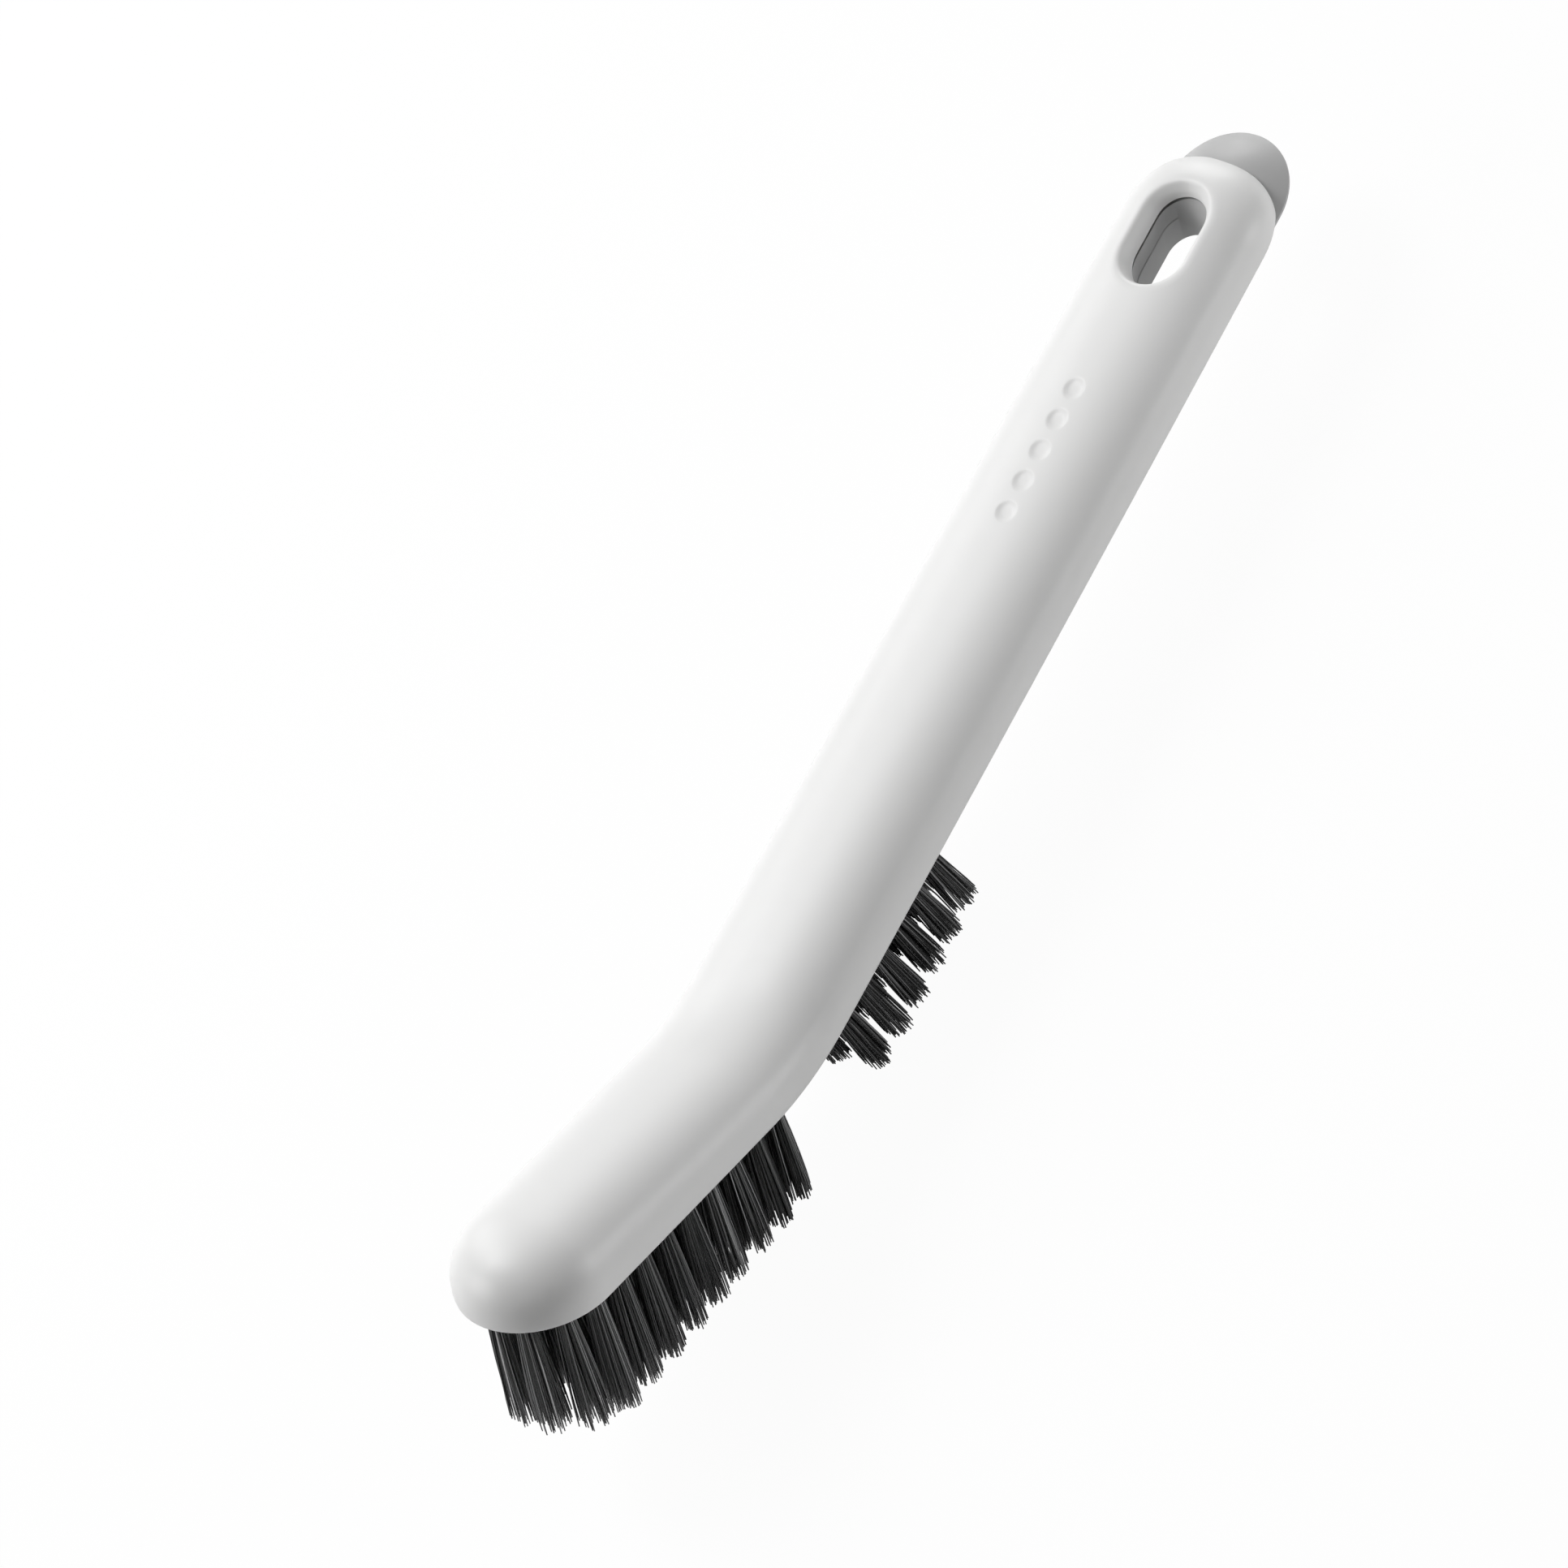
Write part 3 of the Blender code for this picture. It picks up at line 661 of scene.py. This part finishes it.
def make_tuft(name, root, length, flare, rng):
    """One tuft of fine filaments that fan out from their hole to a ragged, slightly domed trim."""
    made = bmesh.new()
    lean_x = rng.gauss(0.0, TUFT_LEAN_SPREAD)
    lean_y = rng.gauss(0.0, TUFT_LEAN_SPREAD)
    locks = []
    for i in range(LOCKS):
        angle = rng.uniform(0.0, 2 * math.pi)
        locks.append(Vector((math.cos(angle), math.sin(angle), 0.0)) * math.sqrt(rng.random()))
    for i in range(FILAMENTS):
        share = math.sqrt((i + 0.5) / FILAMENTS)
        angle = i * GOLDEN_TURN + rng.uniform(-TURN_JITTER, TURN_JITTER)
        share = min(1.0, share + rng.uniform(-SHARE_JITTER, SHARE_JITTER))
        way = Vector((math.cos(angle), math.sin(angle), 0.0)) * share
        lock = min(locks, key=lambda spot: (spot - way).length)
        low = way * ROOT_R
        stray = Vector((rng.gauss(0.0, STRAY_SPREAD) + lean_x, rng.gauss(0.0, STRAY_SPREAD) + lean_y, 0.0))
        high = way.lerp(lock, rng.uniform(*LOCK_PULL)) * (flare - TIP_INSET) + stray
        if rng.random() < WILD_CHANCE:
            high += Vector((rng.gauss(0.0, WILD_SPREAD), rng.gauss(0.0, WILD_SPREAD), 0.0))
        if high.length > flare:
            high *= flare / high.length
        cut = min(0.0, rng.gauss(TRIM_MEAN, TRIM_SPREAD) - TRIM_DOME * share * share)
        if rng.random() < SHORT_CHANCE:
            cut -= rng.uniform(*SHORT_CUT)
        bow = Vector((rng.gauss(0.0, BOW_SPREAD), rng.gauss(0.0, BOW_SPREAD), 0.0))
        path = []
        for t in PATH_SHARES:
            ease = 1.0 - (1.0 - t) ** FAN_POWER
            point = low.lerp(high, ease) + bow * math.sin(math.pi * t)
            point.z = ROOT_DEPTH - (length + cut + ROOT_DEPTH) * t
            path.append(point * MM)
        bristle(made, rng, path, rng.uniform(*FILAMENT_R) * MM)
    mesh = bpy.data.meshes.new(name)
    made.to_mesh(mesh)
    made.free()
    mesh.transform(root)
    finish_mesh(mesh, BRISTLE_SHARP)
    return add(name, mesh)


def principled(name, colour, roughness, ior=1.5):
    """New material with its shader."""
    material = bpy.data.materials.new(name)
    material.use_nodes = True
    shader = material.node_tree.nodes["Principled BSDF"]
    shader.inputs["Base Color"].default_value = (*colour, 1.0)
    shader.inputs["Roughness"].default_value = roughness
    shader.inputs["IOR"].default_value = ior
    return material, shader


def noise(material, scale, detail=2.0, stretch=(1.0, 1.0, 1.0)):
    """Noise in the object's own coordinates, with scale in cells a metre."""
    tree = material.node_tree
    coordinates = tree.nodes.new("ShaderNodeTexCoord")
    mapping = tree.nodes.new("ShaderNodeMapping")
    mapping.inputs["Scale"].default_value = stretch
    texture = tree.nodes.new("ShaderNodeTexNoise")
    texture.inputs["Scale"].default_value = scale
    texture.inputs["Detail"].default_value = detail
    tree.links.new(coordinates.outputs["Object"], mapping.inputs["Vector"])
    tree.links.new(mapping.outputs["Vector"], texture.inputs["Vector"])
    return texture


def vary(material, socket, texture, low, high):
    """Let a texture move a number socket from low to high."""
    tree = material.node_tree
    spread = tree.nodes.new("ShaderNodeMapRange")
    spread.inputs["From Min"].default_value = NOISE_LOW
    spread.inputs["From Max"].default_value = NOISE_HIGH
    spread.inputs["To Min"].default_value = low
    spread.inputs["To Max"].default_value = high
    tree.links.new(texture.outputs["Fac"], spread.inputs["Value"])
    tree.links.new(spread.outputs["Result"], socket)


def vary_colour(material, socket, texture, low, high):
    """Let a texture move a colour socket from low to high."""
    tree = material.node_tree
    ramp = tree.nodes.new("ShaderNodeValToRGB")
    ramp.color_ramp.elements[0].position = NOISE_LOW
    ramp.color_ramp.elements[0].color = (*low, 1.0)
    ramp.color_ramp.elements[1].position = NOISE_HIGH
    ramp.color_ramp.elements[1].color = (*high, 1.0)
    tree.links.new(texture.outputs["Fac"], ramp.inputs["Fac"])
    tree.links.new(ramp.outputs["Color"], socket)


def bump(material, shader, texture, depth, strength):
    """Fine relief of that depth in metres."""
    tree = material.node_tree
    relief = tree.nodes.new("ShaderNodeBump")
    relief.inputs["Distance"].default_value = depth
    relief.inputs["Strength"].default_value = strength
    tree.links.new(texture.outputs["Fac"], relief.inputs["Height"])
    tree.links.new(relief.outputs["Normal"], shader.inputs["Normal"])


def white_plastic():
    """Satin white moulding: faint flow marks, a fine spark-eroded grain."""
    material, shader = principled("white_plastic", (0.82, 0.82, 0.815), roughness=0.42, ior=1.49)
    flow = noise(material, 55.0, 3.0, FLOW_STRETCH)
    vary_colour(material, shader.inputs["Base Color"], flow, (0.808, 0.808, 0.802), (0.832, 0.832, 0.828))
    vary(material, shader.inputs["Roughness"], noise(material, 420.0, 3.0), 0.39, 0.45)
    bump(material, shader, noise(material, 3800.0), depth=0.00002, strength=0.16)
    return material


def grey_plastic():
    """Mid grey moulding, a little rougher than the shell."""
    material, shader = principled("grey_plastic", (0.48, 0.48, 0.48), roughness=0.46, ior=1.49)
    flow = noise(material, 60.0, 3.0, FLOW_STRETCH)
    vary_colour(material, shader.inputs["Base Color"], flow, (0.465, 0.466, 0.466), (0.495, 0.496, 0.496))
    vary(material, shader.inputs["Roughness"], noise(material, 450.0, 3.0), 0.42, 0.5)
    bump(material, shader, noise(material, 3200.0), depth=0.00003, strength=0.2)
    return material


def bristle_plastic():
    """Dark monofilament, near black and dark grey at random, with light grey filaments that are painted
    highlights on single strands, and streaks along its length.
    """
    material, shader = principled("bristle_plastic", (0.04, 0.04, 0.041), roughness=0.34, ior=1.53)
    tree = material.node_tree
    each = tree.nodes.new("ShaderNodeNewGeometry")
    ramp = tree.nodes.new("ShaderNodeValToRGB")
    for at, value in BRISTLE_TONE_AND_HIGHLIGHT_STOPS:
        stop = ramp.color_ramp.elements[0] if at == 0.0 else ramp.color_ramp.elements.new(at)
        stop.position, stop.color = at, (value, value, value * 1.01, 1.0)
    # The last colour, light grey, is a painted highlight on single strands, not the nylon's colour.
    ramp.color_ramp.elements[-1].color = (*BRISTLE_PAINTED_HIGHLIGHT, 1.0)
    tree.links.new(each.outputs["Random Per Island"], ramp.inputs["Fac"])
    tree.links.new(ramp.outputs["Color"], shader.inputs["Base Color"])
    streak = noise(material, 900.0, 2.0, STREAK_STRETCH)
    vary(material, shader.inputs["Roughness"], streak, 0.26, 0.4)
    bump(material, shader, streak, depth=0.00003, strength=0.3)
    return material


def dress():
    """Make the fine pieces and let them stand for the CAD nodes."""
    white = white_plastic()
    grey = grey_plastic()
    dark = bristle_plastic()
    tufts = front_tufts() + rear_tufts()
    shell = make_shell()
    base = make_base([root for name, root, length, flare in tufts])
    mouldings = ((shell, "handle_shell", white, "shell"), (base, "base", grey, "base"))
    for piece, node, material, slot in mouldings:
        piece.data.materials.clear()
        piece.data.materials.append(material)
        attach(piece, "root")
        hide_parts(node)
    rng = random.Random(SEED)
    for name, root, length, flare in tufts:
        piece = make_tuft("fine_" + name, root, length, flare, rng)
        piece.data.materials.append(dark)
        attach(piece, "root")
        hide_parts(name)


def make_camera():
    """Camera at the photograph's angle, square on and without perspective."""
    data = bpy.data.cameras.new("camera")
    data.type = "ORTHO"
    data.ortho_scale = VIEW_WIDTH
    data.clip_start, data.clip_end = CAMERA_CLIP
    camera = add("camera", data)
    right = RIGHT * math.cos(ROLL) - UP * math.sin(ROLL)
    up = UP * math.cos(ROLL) + RIGHT * math.sin(ROLL)
    target = ORIGIN + (right * AIM_RIGHT + up * AIM_UP) * MM
    turned = Matrix((right, up, AWAY)).transposed().to_4x4()
    turned.translation = target + AWAY * CAMERA_DISTANCE
    camera.matrix_world = turned
    bpy.context.scene.camera = camera


def lamp(name, azimuth, elevation, power):
    """Soft round lamp a metre from the brush, in a direction given in degrees."""
    data = bpy.data.lights.new(name, "AREA")
    data.shape = "DISK"
    data.size = LAMP_SIZE
    data.energy = power
    thing = add(name, data)
    across = math.radians(azimuth)
    up = math.radians(elevation)
    way = Vector((math.cos(across) * math.cos(up), math.sin(across) * math.cos(up), math.sin(up)))
    thing.location = way + Vector((0.0, 0.0, LAMP_RISE))
    thing.rotation_mode = "QUATERNION"
    thing.rotation_quaternion = way.to_track_quat("Z", "Y")


def make_light():
    """Soft studio light: a high key and two lamps beyond the brush, low fills at its near side and tail.

    The camera sees a white background, which adds only a little light.
    """
    world = bpy.data.worlds.new("world")
    bpy.context.scene.world = world
    world.use_nodes = True
    tree = world.node_tree
    sky = tree.nodes["Background"]
    sky.inputs["Color"].default_value = (1.0, 1.0, 1.0, 1.0)
    path = tree.nodes.new("ShaderNodeLightPath")
    strength = tree.nodes.new("ShaderNodeMapRange")
    strength.inputs["To Min"].default_value = SKY_FILL
    strength.inputs["To Max"].default_value = 1.0
    tree.links.new(path.outputs["Is Camera Ray"], strength.inputs["Value"])
    tree.links.new(strength.outputs["Result"], sky.inputs["Strength"])
    for settings in LAMPS:
        lamp(*settings)


def make_floor():
    """Plain white floor that keeps a faint shadow."""
    mesh = bpy.data.meshes.new("floor")
    reach = FLOOR_REACH
    corners = [(-reach, -reach, 0.0), (reach, -reach, 0.0), (reach, reach, 0.0), (-reach, reach, 0.0)]
    mesh.from_pydata(corners, [], [(0, 1, 2, 3)])
    floor = add("floor", mesh)
    floor.location.z = -FLOOR_DROP
    material, shader = principled("floor_white", (0.9, 0.9, 0.9), roughness=0.9)
    tree = material.node_tree
    path = tree.nodes.new("ShaderNodeLightPath")
    glow = tree.nodes.new("ShaderNodeEmission")
    glow.inputs["Color"].default_value = (1.0, 1.0, 1.0, 1.0)
    glow.inputs["Strength"].default_value = 1.0
    share = tree.nodes.new("ShaderNodeMath")
    share.operation = "MULTIPLY"
    share.inputs[1].default_value = FLOOR_GLOW
    mix = tree.nodes.new("ShaderNodeMixShader")
    tree.links.new(path.outputs["Is Camera Ray"], share.inputs[0])
    tree.links.new(share.outputs["Value"], mix.inputs["Fac"])
    tree.links.new(shader.outputs["BSDF"], mix.inputs[1])
    tree.links.new(glow.outputs["Emission"], mix.inputs[2])
    tree.links.new(mix.outputs["Shader"], tree.nodes["Material Output"].inputs["Surface"])
    mesh.materials.append(material)


dress()
make_camera()
make_light()
make_floor()
bpy.context.scene.view_settings.view_transform = "Standard"
bpy.context.view_layer.update()
